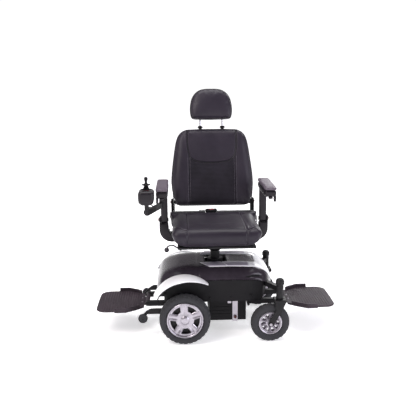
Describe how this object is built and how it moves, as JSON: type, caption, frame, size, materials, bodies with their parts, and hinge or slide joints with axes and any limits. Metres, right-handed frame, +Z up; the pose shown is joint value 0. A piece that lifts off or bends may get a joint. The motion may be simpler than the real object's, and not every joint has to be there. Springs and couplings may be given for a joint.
{
  "type": "power wheelchair",
  "caption": "Battery-powered wheelchair: swivelling captain's seat with flip-up arms, joystick and headrest, on a two-wheel-drive base with swivel casters and a flip-up footplate at each end.",
  "frame": {"origin": "on the floor under the middle of the chair's outer box", "axes": "+Z up; the base lies along X with its drive wheels at -X and its casters at +X; the seat is turned a quarter turn so the occupant looks along -Y, with the joystick at -X"},
  "size_m": [1.3, 0.6972, 1.2963],
  "materials": {
    "black_plastic": "moulded black plastic",
    "black_steel": "satin black powder coat",
    "gloss_black": "glossy black moulding",
    "grey_case": "grey battery case",
    "pad_foam": "skinned foam",
    "red_plastic": "dark red moulding",
    "silver_paint": "painted silver casting",
    "tyre_rubber": "grey-black rubber",
    "vinyl": "grained vinyl over foam",
    "webbing": "woven polyester webbing",
    "white_paint": "glossy white moulding",
    "zinc": "zinc plated"
  },
  "bodies": {
    "chassis": {"chassis_frame": "black_steel", "battery_box": "black_plastic", "battery_near": "grey_case", "battery_far": "grey_case", "battery_strap": "zinc", "power_module": "zinc", "upper_shroud": "gloss_black", "lower_shroud": "black_plastic", "trim": "white_paint", "trim_insert_near": "silver_paint", "trim_insert_far": "silver_paint", "fender_near": "white_paint", "fender_far": "white_paint", "gear_motor_near": "black_steel", "gear_motor_far": "black_steel", "foot_bracket_front": "black_steel", "foot_bracket_rear": "black_steel", "seat_post": "black_steel"},
    "footplate_front": {"footplate_front": "black_plastic"},
    "footplate_rear": {"footplate_rear": "black_plastic"},
    "drive_wheel_near": {"drive_tyre_near": "tyre_rubber", "drive_rim_near": "silver_paint", "drive_axle_near": "silver_paint"},
    "drive_wheel_far": {"drive_tyre_far": "tyre_rubber", "drive_rim_far": "silver_paint", "drive_axle_far": "silver_paint"},
    "caster_near": {"caster_fork_near": "black_steel", "caster_axle_near": "zinc"},
    "caster_far": {"caster_fork_far": "black_steel", "caster_axle_far": "zinc"},
    "caster_wheel_near": {"caster_tyre_near": "tyre_rubber", "caster_rim_near": "silver_paint"},
    "caster_wheel_far": {"caster_tyre_far": "tyre_rubber", "caster_rim_far": "silver_paint"},
    "anti_tip_roller_near": {"anti_tip_roller_near": "tyre_rubber"},
    "anti_tip_roller_far": {"anti_tip_roller_far": "tyre_rubber"},
    "seat": {"seat_pan": "black_steel", "seat_cushion": "vinyl", "arm_bracket_right": "gloss_black", "arm_bracket_left": "gloss_black", "belt_tongue_side": "webbing", "belt_buckle_side": "webbing", "belt_buckle": "black_plastic"},
    "swivel_lever": {"swivel_lever": "black_plastic"},
    "buckle_button": {"buckle_button": "red_plastic"},
    "back": {"back_frame": "black_plastic", "back_cushion": "vinyl"},
    "headrest": {"headrest_posts": "zinc", "headrest_pad": "vinyl"},
    "arm_right": {"arm_frame_right": "gloss_black", "arm_pad_right": "pad_foam"},
    "arm_left": {"arm_frame_left": "gloss_black", "arm_pad_left": "pad_foam"},
    "joystick": {"joystick_arm": "black_steel", "joystick_box": "gloss_black", "joystick_cable": "tyre_rubber"},
    "power_button": {"power_button": "black_plastic"},
    "horn_button": {"horn_button": "black_plastic"},
    "gimbal": {"joystick_gimbal": "zinc"},
    "stick": {"joystick_stick": "black_plastic"}
  },
  "joints": [
    {"name": "seat_swivel", "type": "hinge", "parent": "chassis", "child": "seat", "pos_m": [0, -0.04957, 0.455], "axis": [0, 0, 1], "range_deg": [-90, 90]},
    {"name": "back_fold", "type": "hinge", "parent": "seat", "child": "back", "pos_m": [0, 0.15843, 0.655], "axis": [1, 0, 0], "range_deg": [0, 72]},
    {"name": "headrest_height", "type": "slide", "parent": "back", "child": "headrest", "axis": [0, 0.2588, 0.9659], "range_m": [-0.03, 0.05]},
    {"name": "arm_right_flip", "type": "hinge", "parent": "seat", "child": "arm_right", "pos_m": [-0.2765, 0.05543, 0.577], "axis": [-1, 0, 0], "range_deg": [0, 90]},
    {"name": "arm_left_flip", "type": "hinge", "parent": "seat", "child": "arm_left", "pos_m": [0.2765, 0.05543, 0.577], "axis": [-1, 0, 0], "range_deg": [0, 90]},
    {"name": "joystick_swing", "type": "hinge", "parent": "arm_right", "child": "joystick", "pos_m": [-0.287, -0.05957, 0.702], "axis": [0, 0, -1], "range_deg": [0, 90]},
    {"name": "stick_side_tilt", "type": "hinge", "parent": "joystick", "child": "gimbal", "pos_m": [-0.357, -0.25357, 0.7965], "axis": [1, 0, 0], "range_deg": [-15, 15], "stiffness_Nm_per_rad": 0.4},
    {"name": "stick_cross_tilt", "type": "hinge", "parent": "gimbal", "child": "stick", "pos_m": [-0.357, -0.25357, 0.7965], "axis": [0, 1, 0], "range_deg": [-15, 15], "stiffness_Nm_per_rad": 0.4},
    {"name": "power_button_press", "type": "slide", "parent": "joystick", "child": "power_button", "axis": [0, 0, -1], "range_m": [0, 0.001], "stiffness_N_per_m": 400, "springref_m": -0.001},
    {"name": "horn_button_press", "type": "slide", "parent": "joystick", "child": "horn_button", "axis": [0, 0, -1], "range_m": [0, 0.001], "stiffness_N_per_m": 400, "springref_m": -0.001},
    {"name": "belt_release_press", "type": "slide", "parent": "seat", "child": "buckle_button", "axis": [0, 0, -1], "range_m": [0, 0.003], "stiffness_N_per_m": 400, "springref_m": -0.001},
    {"name": "swivel_release", "type": "hinge", "parent": "seat", "child": "swivel_lever", "pos_m": [-0.19, -0.15957, 0.469], "axis": [0, 1, 0], "range_deg": [0, 10], "stiffness_Nm_per_rad": 2, "springref_deg": -5.73},
    {"name": "drive_near_spin", "type": "hinge", "parent": "chassis", "child": "drive_wheel_near", "pos_m": [-0.1725, -0.31157, 0.133], "axis": [0, 1, 0], "continuous": true},
    {"name": "drive_far_spin", "type": "hinge", "parent": "chassis", "child": "drive_wheel_far", "pos_m": [-0.1725, 0.21243, 0.133], "axis": [0, 1, 0], "continuous": true},
    {"name": "caster_near_swivel", "type": "hinge", "parent": "chassis", "child": "caster_near", "pos_m": [0.321, -0.30757, 0.231], "axis": [0, 0, 1], "continuous": true},
    {"name": "caster_far_swivel", "type": "hinge", "parent": "chassis", "child": "caster_far", "pos_m": [0.321, 0.20843, 0.231], "axis": [0, 0, 1], "continuous": true},
    {"name": "caster_near_spin", "type": "hinge", "parent": "caster_near", "child": "caster_wheel_near", "pos_m": [0.272, -0.30757, 0.102], "axis": [0, 1, 0], "continuous": true},
    {"name": "caster_far_spin", "type": "hinge", "parent": "caster_far", "child": "caster_wheel_far", "pos_m": [0.272, 0.20843, 0.102], "axis": [0, 1, 0], "continuous": true},
    {"name": "roller_near_spin", "type": "hinge", "parent": "chassis", "child": "anti_tip_roller_near", "pos_m": [-0.394, -0.24957, 0.115], "axis": [0, 1, 0], "continuous": true},
    {"name": "roller_far_spin", "type": "hinge", "parent": "chassis", "child": "anti_tip_roller_far", "pos_m": [-0.394, 0.15043, 0.115], "axis": [0, 1, 0], "continuous": true},
    {"name": "footplate_front_flip", "type": "hinge", "parent": "chassis", "child": "footplate_front", "pos_m": [-0.375, -0.04957, 0.15], "axis": [0, 1, 0], "range_deg": [0, 88]},
    {"name": "footplate_rear_flip", "type": "hinge", "parent": "chassis", "child": "footplate_rear", "pos_m": [0.375, -0.04957, 0.15], "axis": [0, -1, 0], "range_deg": [0, 88]}
  ]
}
